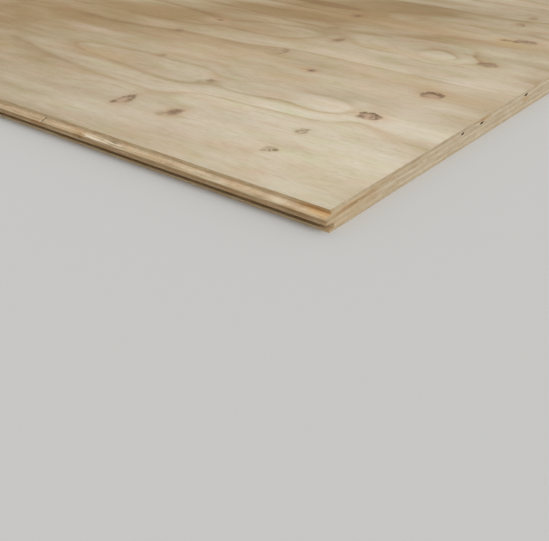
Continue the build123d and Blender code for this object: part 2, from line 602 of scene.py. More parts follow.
def peeled_pine(name, sapwood, heartwood, latewood, lift):
    """A veneer's broad side: sapwood, heartwood and tints by place, under rings, fibres and knots."""
    material, tree, surface = blank_material(name, 0.24)
    place = millimetres(tree)
    fibre = put(tree, "ShaderNodeGroup", {"Place": place}, node_tree=fibres).outputs
    ring_inputs = {
        "Ring": read(tree, "ring")["Fac"],
        "Streak": fibre["Streak"],
        "Thread": fibre["Thread"],
        "Place": place,
    }
    ring = put(tree, "ShaderNodeGroup", ring_inputs, node_tree=rings).outputs
    knot_inputs = {
        "Way": read(tree, "knot_way")["Vector"],
        "Place": place,
        "Openness": read(tree, "knot_open")["Fac"],
    }
    knot = put(tree, "ShaderNodeGroup", knot_inputs, node_tree=knot_group).outputs
    mark_inputs = {"Way": read(tree, "mark_way")["Vector"], "Place": place, "Openness": 0.0}
    mark = put(tree, "ShaderNodeGroup", mark_inputs, node_tree=knot_group).outputs
    tint = put(tree, "ShaderNodeSeparateXYZ", {0: read(tree, "tint")["Vector"]}).outputs
    cloud = noise(tree, place, 1.0, 3.0, (0.006, 0.03, 0.03))
    rosy = noise(tree, place, 1.0, 2.0, (0.025, 0.07, 0.07), (71.0, 0.0, 0.0))
    green = noise(tree, place, 1.0, 2.0, (0.023, 0.06, 0.06), (0.0, 53.0, 0.0))

    brown = calc(tree, "ADD", tint[0], ramp(tree, cloud, 0.3, 0.7, -0.22, 0.22), True)
    halo = calc(tree, "MAXIMUM", knot["Halo"], calc(tree, "MULTIPLY", mark["Halo"], 0.6))
    knot_middle = tinted(tree, calc(tree, "MULTIPLY", knot["Rings"], 0.4), knot_wood, knot_ring_wood)
    dark = calc(tree, "MAXIMUM", knot["Dark"], mark["Dark"])
    coats = [
        ("MULTIPLY", 1.0, ramp(tree, rosy, 0.46, 0.70), rosy_cast),
        ("MULTIPLY", 1.0, ramp(tree, green, 0.48, 0.72), green_cast),
        ("MULTIPLY", 0.5, ring["Warm"], warm_cast),
        ("MIX", 1.0, tint[1], orange_wood),
        ("MIX", 1.0, tint[2], pink_wood),
        ("MULTIPLY", 1.0, ramp(tree, fibre["Streak"], 0.35, 0.75), streak_cast),
        ("MULTIPLY", 1.0, fibre["Fleck"], fleck_cast),
        ("MULTIPLY", 1.0, ring["Late"], latewood),
        ("MULTIPLY", 0.35, ring["Faint"], latewood),
        ("MULTIPLY", 0.36, ramp(tree, fibre["Thread"], 0.40, 0.68), thread_cast),
        ("MULTIPLY", 0.35, fibre["Duct"], duct_cast),
        ("MULTIPLY", 0.7, halo, halo_cast),
        ("MIX", 0.5, knot["Body"], knot_middle),
        ("MIX", 0.95, dark, knot_bark),
    ]
    colour = coated(tree, tinted(tree, brown, sapwood, heartwood), coats)
    tree.links.new(colour, surface.inputs["Base Color"])

    height = calc(tree, "MULTIPLY", fibre["Thread"], 0.5)
    height = calc(tree, "ADD", height, calc(tree, "MULTIPLY", ring["Late"], 0.35))
    height = calc(tree, "SUBTRACT", height, calc(tree, "MULTIPLY", fibre["Duct"], 0.5))
    height = calc(tree, "SUBTRACT", height, calc(tree, "MULTIPLY", dark, 1.2))
    bump = put(tree, "ShaderNodeBump", {"Strength": 0.6, "Distance": lift, "Height": height})
    tree.links.new(bump.outputs[0], surface.inputs["Normal"])
    worn_knot = calc(tree, "MULTIPLY", knot["Body"], 0.05)
    gloss = calc(tree, "SUBTRACT", ramp(tree, ring["Late"], 0.0, 1.0, 0.66, 0.54), worn_knot)
    tree.links.new(gloss, surface.inputs["Roughness"])
    return material


# Cut wood on the edges. Bands run along the edge, because the knife peels almost along the growth rings.
# Shallow hollows are torn pale wood, and deep ones are painted dark as shade. The stain is brown, orange
# and pale torn wood, and its brown also holds painted shade on the tongue's nose.
cut_wood, given, result = group(
    "cut_bands",
    [("Along", number), ("Up", number), ("Thread", number), ("Hollow", number), ("Stain_and_shade", vector)],
    [(mask, number) for mask in ("Band", "Glue", "Dark", "Brown", "Orange", "Fresh", "Rosy")],
)
edge_place = put(cut_wood, "ShaderNodeCombineXYZ", {0: given["Along"], 1: given["Up"]}).outputs[0]
band = noise(cut_wood, edge_place, 1.0, 3.0, (0.024, 0.75, 1.0), rough=0.6)
band = calc(cut_wood, "ADD", band, calc(cut_wood, "MULTIPLY", given["Thread"], 0.22))
cut_wood.links.new(ramp(cut_wood, band, 0.50, 0.78, smooth=True), result["Band"])
outer_veneer, inner_veneer = 2.5, 2.6
above_back = calc(cut_wood, "SUBTRACT", given["Up"], outer_veneer)
ply = calc(cut_wood, "FRACT", calc(cut_wood, "DIVIDE", above_back, inner_veneer))
seam = calc(cut_wood, "ABSOLUTE", calc(cut_wood, "SUBTRACT", ply, 0.5))
patchy = noise(cut_wood, edge_place, 1.0, 2.0, (0.05, 0.4, 1.0), (5.0, 2.0, 0.0))
patchy = ramp(cut_wood, patchy, 0.35, 0.6)
glue = calc(cut_wood, "MULTIPLY", ramp(cut_wood, seam, 0.44, 0.485), patchy)
cut_wood.links.new(glue, result["Glue"])
# Painted shade: the deeper a hollow, the darker it is painted
cut_wood.links.new(ramp(cut_wood, given["Hollow"], 0.45, 1.05), result["Dark"])
stain_and_shade = put(cut_wood, "ShaderNodeSeparateXYZ", {0: given["Stain_and_shade"]}).outputs
blotch = noise(cut_wood, edge_place, 1.0, 2.0, (0.035, 0.35, 1.0), (17.0, 0.0, 0.0))
blotch = ramp(cut_wood, blotch, 0.60, 0.80, 0.0, 0.4)
# Brown is stains and blotches, and painted shade on the tongue's nose
cut_wood.links.new(calc(cut_wood, "ADD", stain_and_shade[0], blotch, True), result["Brown"])
glow = noise(cut_wood, edge_place, 1.0, 2.0, (0.03, 0.4, 1.0), (3.0, 29.0, 0.0))
glow = ramp(cut_wood, glow, 0.58, 0.80, 0.0, 0.4)
cut_wood.links.new(calc(cut_wood, "ADD", stain_and_shade[1], glow, True), result["Orange"])
shallow = ramp(cut_wood, given["Hollow"], 0.14, 0.42, 0.0, 0.4)
cut_wood.links.new(calc(cut_wood, "ADD", stain_and_shade[2], shallow, True), result["Fresh"])
rosy = noise(cut_wood, edge_place, 1.0, 3.0, (0.05, 0.5, 1.0), (2.0, 61.0, 0.0))
cut_wood.links.new(ramp(cut_wood, rosy, 0.44, 0.66), result["Rosy"])

# Colours on cut pine, where torn wood and the painted shade of a deep hollow cover what lies under them
cut_rosy_cast = (1.0, 0.92, 0.88, 1)
cut_thread_cast = (0.80, 0.74, 0.65, 1)
cut_fleck_cast = (0.90, 0.87, 0.82, 1)
glue_cast = (0.45, 0.35, 0.25, 1)
orange_cast = (1.02, 0.80, 0.52, 1)
brown_cast = (0.62, 0.53, 0.43, 1)
torn_wood = (0.82, 0.73, 0.57, 1)
painted_hollow_shade = (0.060, 0.032, 0.014, 1)


def cut_pine(name, grain, run, wood, band_wood, lift):
    """A cut edge: grain gives the axis that the fibres follow, and run the axis that the edge follows."""
    material, tree, surface = blank_material(name, 0.2)
    surface.inputs["Roughness"].default_value = 0.78
    place = millimetres(tree)
    parts = put(tree, "ShaderNodeSeparateXYZ", {0: place}).outputs
    order = {"X": (0, 1, 2), "Y": (1, 0, 2)}[grain]
    turned = {k: parts[axis] for k, axis in enumerate(order)}
    grain_place = put(tree, "ShaderNodeCombineXYZ", turned).outputs[0]
    fibre = put(tree, "ShaderNodeGroup", {"Place": grain_place}, node_tree=fibres).outputs
    cut_inputs = {
        "Along": parts["XYZ".index(run)],
        "Up": parts[2],
        "Thread": fibre["Thread"],
        "Hollow": read(tree, "hollow")["Fac"],
        "Stain_and_shade": read(tree, "stain_and_shade")["Vector"],
    }
    cut = put(tree, "ShaderNodeGroup", cut_inputs, node_tree=cut_wood).outputs
    coats = [
        ("MULTIPLY", 1.0, cut["Rosy"], cut_rosy_cast),
        ("MULTIPLY", 0.8, ramp(tree, fibre["Thread"], 0.36, 0.66), cut_thread_cast),
        ("MULTIPLY", 0.5, cut["Glue"], glue_cast),
        ("MULTIPLY", 1.0, fibre["Fleck"], cut_fleck_cast),
        ("MIX", 1.0, cut["Fresh"], torn_wood),
        ("MULTIPLY", 1.0, cut["Orange"], orange_cast),
        # brown stains, and painted shade on the tongue's nose
        ("MULTIPLY", 1.0, cut["Brown"], brown_cast),
        # painted shade in the deep hollows
        ("MIX", 1.0, cut["Dark"], painted_hollow_shade),
    ]
    colour = coated(tree, tinted(tree, cut["Band"], wood, band_wood), coats)
    tree.links.new(colour, surface.inputs["Base Color"])
    height = calc(tree, "SUBTRACT", fibre["Thread"], calc(tree, "MULTIPLY", cut["Glue"], 0.4))
    bump = put(tree, "ShaderNodeBump", {"Strength": 0.7, "Distance": lift, "Height": height})
    tree.links.new(bump.outputs[0], surface.inputs["Normal"])
    return material


planed_side_grain = cut_pine(
    "planed_side_grain", "X", "X", (0.62, 0.51, 0.335, 1), (0.49, 0.37, 0.21, 1), 0.0002
)
planed_end_grain = cut_pine(
    "planed_end_grain", "Y", "X", (0.74, 0.62, 0.44, 1), (0.60, 0.47, 0.30, 1), 0.0003
)
sawn_end_grain = cut_pine(
    "sawn_end_grain", "X", "Y", (0.53, 0.46, 0.335, 1), (0.47, 0.395, 0.275, 1), 0.0003
)
sawn_side_grain = cut_pine(
    "sawn_side_grain", "Y", "Y", (0.59, 0.52, 0.39, 1), (0.52, 0.44, 0.31, 1), 0.0002
)


def scattered_voids(seed, count, start, stop):
    """Chance gaps and pulled-out fibres on one edge: place, middle height, length, height and depth."""
    chance = np.random.default_rng(seed)
    layer = chance.integers(0, len(glue_lines) - 1, count)
    height = glue_lines[layer] + chance.uniform(0.5, 2.1, count)
    length = chance.choice([2.0, 4.0, 7.0, 14.0], count, p=[0.4, 0.3, 0.2, 0.1])
    length *= chance.uniform(0.7, 1.3, count)
    tall = chance.uniform(0.8, 1.7, count)
    deep = chance.uniform(0.5, 1.6, count)
    return np.stack([chance.uniform(start, stop, count), height, length, tall, deep], 1)


def hollows(along, height, voids):
    """Depth of the voids at each place: every void is half an ellipsoid sunk into the edge."""
    depth = np.zeros(np.broadcast(along, height).shape)
    for place, middle, length, tall, deep in voids:
        reach = ((along - place) / (0.5 * length)) ** 2 + ((height - middle) / (0.5 * tall)) ** 2
        depth = np.maximum(depth, deep * np.sqrt(np.clip(1 - reach, 0, 1)))
    return depth


# Voids of the two ends and of the two long edges, by the side of the origin that they lie on. The placed
# ones are those that the photograph shows.
end_voids = {
    1: np.array(
        [
            (-294.4, 13.6, 9.0, 3.0, 1.6),
            (-380.7, 12.6, 8.5, 2.6, 1.5),
            (-397.0, 13.8, 22.0, 0.7, 0.8),
            (-414.6, 13.4, 7.5, 3.0, 1.3),
            (-520.2, 6.6, 3.0, 1.3, 0.8),
            (-568.0, 11.4, 7.0, 0.9, 0.4),
            (-583.0, 12.4, 9.0, 0.7, 0.3),
        ]
    ),
    -1: scattered_voids(31, 26, -600, 600),
}
end_voids[1] = np.concatenate([end_voids[1], scattered_voids(32, 12, 60, 600)])
edge_voids = {
    -1: np.array(
        [
            (901.0, 13.2, 2.6, 3.2, 1.0),
            (953.5, 9.6, 7.0, 2.6, 0.75),
            (993.0, 13.9, 20.0, 0.8, 0.5),
            (966.0, 12.5, 8.0, 0.7, 0.6),
        ]
    ),
    1: scattered_voids(34, 50, -1210, 1210),
}
edge_voids[-1] = np.concatenate([edge_voids[-1], scattered_voids(33, 42, -1210, 700)])


# How far from a glue line and from the face the relief changes, how far in every edge lies, and the middle
# and half size of the patch where the cutters caught on the tongue
glue_margin = 0.25
arris_height = 0.7
inset = 0.02
caught_x, caught_z = 985, 12.0
caught_half_length, caught_half_height = 22, 2.4


def inside_veneer(z):
    """Nought on a glue line and one from the glue margin on, where a veneer's own relief begins."""
    return np.clip(np.abs(z[..., None] - glue_lines[1:-1]).min(-1) / glue_margin, 0, 1)


def on_arris(z):
    """Nought until just below the face, then rising up to it: small bites are out of that arris."""
    return np.clip(z - (thickness - arris_height), 0, 1)


def planed(grain_along, seed):
    """Relief of a planed long edge: fibre lines or pricked end grain, torn patches, bites and voids.

    Where the cutters caught on the tongue, a longer patch is torn out in ridges.
    """
    line_length = 45 if grain_along else 2.2
    torn_depth = 0.3 if grain_along else 0.7

    def relief(x, y, z):
        lines = 0.04 * (1 + drift(x / line_length, z / 0.55 + 40, seed))
        torn = torn_depth * np.clip(drift(x / 11, z / 1.2 + 70, seed + 1) - 0.45, 0, 1)
        bites = 1.6 * np.clip(drift(x / 5.5, np.sign(y) * 3.3 + 9, 92) - 0.45, 0, 1)
        caught = ((x - caught_x) / caught_half_length) ** 2 + ((z - caught_z) / caught_half_height) ** 2
        ridges = np.exp(-caught) * (y < 0) * (0.25 + 0.25 * drift(x / 9, z / 0.7, 93))
        gaps = np.where(y < 0, hollows(x, z, edge_voids[-1]), hollows(x, z, edge_voids[1]))
        return inset + (lines + torn) * inside_veneer(z) + bites * on_arris(z) + ridges + gaps

    return relief


def sawn(grain_along, seed):
    """Relief of a sawn end: saw marks, pricked end grain or fibre lines, torn patches, bites and voids."""
    line_length = 2.0 if grain_along else 38

    def relief(x, y, z):
        lines = 0.03 * (1 + drift(y / line_length, z / 0.6 + 40, seed))
        marks = 0.03 * (1 + np.sin(y / 1.9 + z * 0.6))
        torn = 1.2 * np.clip(drift(y / 9, z / 1.3 + 70, seed + 1) - 0.7, 0, 1)
        bites = 1.4 * np.clip(drift(y / 6, np.sign(x) * 2.2 + 9, 94) - 0.5, 0, 1)
        gaps = np.where(x > 0, hollows(y, z, end_voids[1]), hollows(y, z, end_voids[-1]))
        return inset + (lines + torn) * inside_veneer(z) + marks + bites * on_arris(z) + gaps

    return relief


# Marks on the cut edges, mostly stains and torn wood: a middle, a half length each way, then brown, orange
# and pale
edge_stains_and_shade = np.array(
    [
        (1208.0, -604.2, 15.8, 16.0, 3.0, 1.9, 0.60, 1.00, 0.00),
        (1210.0, -607.0, 13.5, 11.0, 6.0, 1.0, 0.00, 0.75, 0.50),
        (1160.0, -607.0, 13.4, 45.0, 6.0, 0.9, 0.00, 0.10, 0.15),
        (1219.0, -590.0, 9.0, 5.0, 50.0, 12.0, 0.00, 0.30, 0.00),
        (1219.0, -575.0, 12.0, 5.0, 20.0, 1.5, 0.80, 0.50, 0.00),
        (1219.0, -540.0, 13.8, 5.0, 24.0, 1.0, 0.40, 0.30, 0.00),
        (1219.0, -500.0, 15.2, 5.0, 40.0, 1.5, 0.20, 0.10, 0.00),
        (1219.0, -440.0, 16.6, 5.0, 110.0, 1.0, 0.25, 0.00, 0.00),
        (1219.0, -376.0, 15.8, 5.0, 10.0, 1.2, 0.30, 0.80, 0.00),
        (1219.0, -296.0, 10.0, 5.0, 7.0, 2.0, 0.30, 0.60, 0.00),
        (1060.0, -607.0, 13.0, 60.0, 6.0, 0.6, 0.20, 0.10, 0.00),
        (895.0, -607.0, 10.0, 9.0, 6.0, 3.0, 0.40, 0.50, 0.00),
        (945.0, -606.5, 13.2, 10.0, 6.0, 1.0, 0.15, 0.40, 0.00),
        (953.0, -609.0, 11.5, 6.0, 6.0, 1.6, 0.80, 0.40, 0.00),
        # Painted shadow of a torn strand, dark brown in the crease under the shoulder
        (993.0, -605.4, 13.9, 11.0, 2.0, 0.6, 0.80, 0.00, 0.00),
        # A brown line along the root of the tongue's flank
        (830.0, -605.5, 13.9, 90.0, 2.5, 0.8, 0.50, 0.00, 0.00),
        (1174.0, -607.0, 13.0, 8.0, 6.0, 1.2, 0.00, 0.10, 0.50),
        (1088.0, -607.0, 13.0, 22.0, 6.0, 0.8, 0.00, 0.00, 0.40),
        (1118.0, -607.0, 12.6, 8.0, 6.0, 0.8, 0.00, 0.00, 0.45),
        (985.0, -608.0, 12.6, 20.0, 4.0, 1.2, 0.00, 0.00, 0.20),
        (860.0, -609.0, 12.2, 60.0, 6.0, 0.5, 0.00, 0.00, 0.30),
        (700.0, -607.0, 13.0, 45.0, 6.0, 0.8, 0.00, 0.00, 0.30),
    ]
)


def stains_and_shade(base):
    """Brown, orange and pale at each point: a bell round each placed middle, and brown painted shade on the
    nose and below it.
    """
    amount = np.zeros(base.shape)
    # Painted shade: the tongue's nose and the part below it are browned, patchy along the edge
    uneven_nose_shade = 0.85 + 0.25 * drift(base[:, 0] / 26, base[:, 2] / 1.1, 91)
    below_flank = np.clip((upper_nose - base[:, 2]) / 0.8, 0, 1)
    amount[:, 0] = uneven_nose_shade * below_flank * (base[:, 1] < shoulder - 1.4)
    for spot in edge_stains_and_shade:
        reach = ((base - spot[:3]) / spot[3:6]) ** 2
        amount += spot[6:] * np.exp(-reach.sum(1))[:, None]
    return amount


def edge_depths(base, edge_relief, end_relief):
    """Depth of each point of a veneer below its edge or end, whichever it lies on."""
    on_end = np.abs(base[:, 0]) > sheet_length / 2 - 0.01
    return np.where(on_end, end_relief(*base.T), edge_relief(*base.T))


def add_veneer(name, layer, grain_along, broad_relief=None, broad_at=None, broad_material=None):
    """Makes one veneer, gives it its woods and what they read, and puts it in place of the plain one."""
    edge_relief = planed(grain_along, 100 + 10 * layer)
    end_relief = sawn(grain_along, 200 + 10 * layer)
    piece, base = cut_veneer(name, layer, edge_relief, end_relief, broad_relief, broad_at)
    edge_wood = planed_side_grain if grain_along else planed_end_grain
    end_wood = sawn_end_grain if grain_along else sawn_side_grain
    for material in (broad_material or edge_wood, edge_wood, end_wood):
        piece.data.materials.append(material)
    store(piece, "hollow", edge_depths(base, edge_relief, end_relief))
    store(piece, "stain_and_shade", stains_and_shade(base))
    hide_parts(name.replace("_cut", ""))
    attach(piece, "root")
    return piece, base


def rim_marks(seed, knots):
    """Small dark spots of bark and resin, one at a chance side of each larger knot, in rows like knots."""
    chance = np.random.default_rng(seed)
    marks = knots[knots[:, 2] > 6].copy()
    side = chance.uniform(0, 2 * np.pi, len(marks))
    marks[:, :2] += 0.8 * marks[:, 2:4] * np.stack([np.cos(side), np.sin(side)], 1)
    marks[:, 2:4] = chance.uniform(2.2, 3.8, (len(marks), 2))
    return marks


def store_figure(piece, base, ring, knots, marks, tint):
    """What the broad side reads: ring height, ways to the nearest knot and mark, openness and tints."""
    way, openness = knot_fields(base[:, 0], base[:, 1], knots)
    mark_way, _ = knot_fields(base[:, 0], base[:, 1], marks)
    store(piece, "ring", ring)
    store(piece, "knot_way", way)
    store(piece, "knot_open", openness)
    store(piece, "mark_way", mark_way)
    store(piece, "tint", tint)


def knot_dishes(x, y, knots):
    """Depth of the dishes that sanding and drying leave: a bell a little wider than each knot."""
    dish_reach = 1.3
    dish_depth = 0.22
    depth = np.zeros(x.shape)
    for knot_x, knot_y, along_radius, across_radius, strength, _, _ in knots:
        reach = np.hypot((x - knot_x) / along_radius, (y - knot_y) / across_radius) / dish_reach
        depth = np.maximum(depth, dish_depth * strength * np.exp(-(reach**2)))
    return depth


back_knots = whorl_knots(51, np.arange(-1150, 1200, 165.0))


def back_relief(x, y):
    """The rough back: low waves along the grain, lathe checks in long lines, and dishes at the knots."""
    waves = 0.05 * (1 + drift(x / 60, y / 7, 52))
    checks = 0.25 * np.clip(drift(x / 80, y / 5, 53) - 0.7, 0, 1)
    return waves + checks + knot_dishes(x, y, back_knots)


def soft_tints(x, y, seed):
    """Brown, orange and pink by chance, in long patches along the grain."""
    brown = np.clip(0.42 + 0.3 * drift(x / 620, y / 70, seed), 0, 1)
    orange = np.clip(0.9 * drift(x / 170 + 9, y / 26, seed + 1) - 0.42, 0, 0.5)
    pink = np.clip(0.9 * drift(x / 150 + 5, y / 40, seed + 2) - 0.40, 0, 0.5)
    return np.stack([brown, orange, pink], 1)


rough_back = peeled_pine(
    "rough_pine_back", (0.60, 0.49, 0.33, 1), (0.37, 0.25, 0.125, 1), (0.66, 0.54, 0.42, 1), 0.0004
)
back, back_base = add_veneer("back_veneer_cut", 0, True, back_relief, 0, rough_back)
back_x, back_y = back_base[:, 0], back_base[:, 1]
back_ring = ring_waves(back_x, back_y, 54) * 1.15 + knot_swell(back_x, back_y, back_knots)
back_tints = soft_tints(back_x, back_y, 55)
store_figure(back, back_base, back_ring, back_knots, rim_marks(56, back_knots), back_tints)

# Crossbands
# Three peeled veneers lie with their grain across the sheet, which keeps it flat. The planed edges cut
# across their fibres and show pricked end grain, and the sawn ends show their paler side grain.
crossbands = {"lower_crossband_cut": 1, "centre_crossband_cut": 3, "upper_crossband_cut": 5}
for crossband, layer in crossbands.items():
    add_veneer(crossband, layer, False)

# Torn fibres of the upper crossband
# The cutters lifted slivers of wood off the tongue's upper flank, the longest of them in one patch. They
# are still held at their roots, stand a little off the flank and are paler than the planed wood.
flank_rise = (upper_root - upper_nose) / (shoulder - nose)


def slivers(seed, count, first_x, last_x, shortest, longest, widest, lean):
    """Points of thin four-sided slivers that run along the sheet: one row of rings for each sliver.

    Each middle line starts in the flank, leans across it and rises from it with the square of the way
    along. Width and thickness follow half a sine from the root to the tip. None stands out past the nose.
    """
    root_depth = 0.03
    chance = np.random.default_rng(seed)
    share = np.linspace(0, 1, 12)[None, :]
    length = chance.uniform(shortest, longest, (count, 1))
    x = chance.uniform(first_x, last_x, (count, 1)) + length * share
    root_y = chance.uniform(nose + 1.1, shoulder - 1.1, (count, 1))
    y = root_y + chance.normal(lean, 0.03, (count, 1)) * length * share
    y = np.clip(y, nose + 0.6, shoulder - 0.8)
    rise = chance.uniform(0.1, 0.9, (count, 1)) * share**2
    z = upper_nose + flank_rise * (y - nose) + rise - root_depth
    half = 0.03 + 0.5 * chance.uniform(0.5, 1.0, (count, 1)) * widest * np.sin(np.pi * share) ** 0.7
    middle = np.stack([x, y, z], -1)[:, :, None]
    ring = np.array([(0, -1, -0.2), (0, 0.1, 0.35), (0, 1, 0.3), (0, 0, -0.3)])
    points = middle + half[:, :, None, None] * ring
    points[..., 1] = np.maximum(points[..., 1], nose + 0.1)
    return points


rings_of_slivers = np.concatenate(
    [
        slivers(71, 7, 955, 972, 22, 42, 2.0, -0.09),
        slivers(72, 6, 972, 1000, 10, 24, 1.5, -0.05),
        slivers(73, 22, 420, 1190, 3, 11, 0.8, 0.0),
    ]
)
sliver_ids = np.arange(rings_of_slivers[..., 0].size).reshape(rings_of_slivers.shape[:3])
wrapped = np.concatenate([sliver_ids, sliver_ids[:, :, :1]], 2)
corners = [wrapped[:, :-1, :-1], wrapped[:, 1:, :-1], wrapped[:, 1:, 1:], wrapped[:, :-1, 1:]]
sliver_sides = np.stack(corners, -1).reshape(-1, 4)
sliver_faces = np.concatenate([sliver_sides, sliver_ids[:, 0], sliver_ids[:, -1]])
sliver_points = rings_of_slivers.reshape(-1, 3)
torn = closed_skin("torn_fibres", sliver_points, sliver_faces.tolist(), np.zeros(len(sliver_faces)))
torn.data.materials.append(planed_side_grain)
store(torn, "hollow", np.zeros(len(sliver_points)))
sliver_stains = np.random.default_rng(74).uniform((0.0, 0.0, 0.3), (0.2, 0.4, 1.0), (len(sliver_ids), 3))
store(torn, "stain_and_shade", np.repeat(sliver_stains, sliver_ids[0].size, 0))
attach(torn, "root")

# Core veneers
# Two more peeled veneers run with the face grain between the crossbands. The kerf is cut into the lower
# one, the upper one makes the top of the tongue's nose, and the sawn ends show the end grain of both.
for core, layer in (("lower_core_veneer_cut", 2), ("upper_core_veneer_cut", 4)):
    add_veneer(core, layer, True)

# Face veneer
# The top ply is the best one: sanded smooth, pale near the corner and browner towards the middle, with
# few broad rings that bend round the knots. Knots stand in rows across the sheet, one row for each whorl.
near_x = sheet_length / 2
near_y = shoulder

# Grain lines that the photograph shows, as points from the near corner: along the sheet and across it
grain_lines = {
    1.0: [
        (-640, 156), (-590, 148), (-545, 141), (-510, 131), (-470, 122), (-430, 115), (-390, 109),
        (-345, 105), (-305, 103), (-275, 103), (-262, 113), (-245, 123), (-215, 126), (-180, 127),
        (-150, 129), (-120, 131), (-102, 136), (-90, 148), (-66, 147), (-45, 142), (-20, 137), (0, 134),
    ],
    2.0: [
        (-470, 162), (-440, 152), (-405, 147), (-370, 142), (-335, 138), (-300, 137), (-278, 137),
        (-266, 145), (-262, 158), (-268, 173), (-284, 182), (-320, 181), (-360, 183), (-400, 181),
        (-440, 176), (-470, 170), (-248, 160), (-240, 148), (-215, 146), (-190, 150), (-168, 155),
        (-145, 152), (-125, 150), (-108, 155), (-101, 166), (-106, 179), (-122, 187), (-150, 185),
        (-185, 180), (-215, 177), (-240, 172),
    ],
    3.0: [
        (-560, 356), (-520, 352), (-490, 350), (-460, 345), (-430, 338), (-413, 330), (-401, 320),
        (-400, 310), (-412, 303), (-440, 299), (-480, 297), (-530, 297), (-580, 295), (-630, 292),
        (-385, 325), (-370, 314), (-340, 313), (-305, 314), (-285, 319), (-274, 332), (-268, 350),
        (-276, 372), (-300, 378), (-335, 377), (-370, 345), (-222, 350), (-205, 338), (-170, 338),
        (-140, 336), (-245, 384), (-215, 391), (-180, 397), (-145, 399), (-115, 400), (-98, 390),
        (-90, 370), (-92, 345), (-105, 331), (-122, 328),
    ],
    4.0: [
        (-142, 352), (-136, 366), (-120, 373), (-105, 366), (-100, 352), (-108, 341), (-124, 337),
        (-138, 343),
    ],
}

# Ring heights between those lines
grain_between = {
    0.45: [
        (-640, 60), (-520, 75), (-430, 60), (-340, 50), (-260, 40), (-180, 60), (-170, 100), (-60, 100),
        (-20, 60), (-120, 30), (-300, 15), (-40, 10), (-420, 20), (-30, 110), (-220, 100), (-330, 85),
    ],
    1.5: [
        (-560, 175), (-500, 155), (-430, 132), (-360, 123), (-300, 120), (-268, 127), (-220, 137),
        (-160, 141), (-110, 144), (-80, 160), (-30, 160),
    ],
    1.6: [
        (-600, 210), (-520, 205), (-440, 200), (-360, 200), (-300, 203), (-256, 185), (-240, 200),
        (-180, 205), (-120, 205), (-90, 190), (-40, 195), (-350, 230), (-250, 225), (-150, 230),
        (-480, 240), (-20, 230), (-620, 250),
    ],
    2.5: [
        (-440, 165), (-380, 162), (-330, 160), (-290, 160), (-215, 162), (-175, 170), (-135, 168),
        (-560, 275), (-470, 275), (-390, 290), (-320, 290), (-260, 300), (-200, 300), (-140, 300),
        (-80, 300), (-30, 300), (-390, 350), (-245, 330),
    ],
    2.7: [
        (-560, 430), (-460, 440), (-350, 440), (-250, 445), (-140, 450), (-40, 440), (-500, 520),
        (-400, 510), (-300, 520), (-200, 520), (-100, 520), (-10, 520), (-400, 590), (-300, 600),
        (-200, 590), (-100, 600), (-10, 600), (-20, 390),
    ],
    3.5: [
        (-530, 325), (-470, 322), (-430, 317), (-350, 330), (-310, 345), (-290, 335), (-200, 360),
        (-170, 375), (-130, 388),
    ],
}
placed = np.array(
    [(x, y, ring) for rows in (grain_lines, grain_between) for ring, row in rows.items() for x, y in row]
)


def nearness(x, y, other_x, other_y):
    """How far one place decides another: falls smoothly with distance, more slowly along the grain."""
    along_grain, across_grain = 42, 15
    reach = np.hypot((x - other_x) / along_grain, (y - other_y) / across_grain)
    return (1 + reach) * np.exp(-reach)


def face_rings(x, y, seed):
    """Ring height of the face: chance waves plus a share of each placed point's nearness.

    The shares are solved for together, so that the rings meet the placed points with a little give.
    """
    give = 0.02
    points_x, points_y = near_x + placed[:, 0], near_y + placed[:, 1]
    pull = nearness(points_x[:, None], points_y[:, None], points_x, points_y) + give * np.eye(len(placed))
    share = np.linalg.solve(pull, placed[:, 2] - ring_waves(points_x, points_y, seed))
    height = ring_waves(x, y, seed)
    for point_x, point_y, amount in zip(points_x, points_y, share):
        height += amount * nearness(x, y, point_x, point_y)
    return height


# Knots that the photograph shows: along and across from the near corner, two radii, strength, openness
# and turn
seen_knots = np.array(
    [
        (-64, 246, 10.8, 8.6, 0.90, 0.9, -0.5),
        (-80, 168, 11.0, 8.5, 1.00, 1.0, 0.4),
        (-65, 357, 11.0, 8.5, 0.85, 0.3, 0.0),
        (-69, 452, 13.0, 7.5, 0.70, 0.3, 0.3),
        (-227, 73, 8.0, 10.0, 0.95, 0.0, 0.0),
        (-289, 69, 7.5, 15.0, 0.70, 0.9, 0.0),
        (-106, 104, 6.0, 6.5, 0.45, 0.5, 1.2),
        (-104, 59, 5.5, 5.5, 0.45, 0.3, 0.0),
        (-240, 343, 6.5, 9.0, 0.80, 0.2, 0.0),
        (-281, 440, 6.0, 7.0, 0.90, 0.1, 0.0),
        (-199, 239, 7.0, 4.5, 0.90, 0.1, 0.0),
        (-414, 267, 7.0, 6.0, 0.50, 0.2, 0.0),
        (-259, 156, 5.0, 6.0, 0.50, 0.2, 0.0),
        (-360, 188, 6.0, 5.0, 0.45, 0.3, 0.0),
        (-105, 512, 7.0, 6.0, 0.60, 0.4, 0.5),
        (-105, 546, 6.0, 8.0, 0.45, 0.2, 0.0),
        (-273, 380, 7.0, 6.0, 0.45, 0.3, 0.0),
        (-266, 272, 9.0, 12.0, 0.40, 0.9, 0.8),
    ]
)

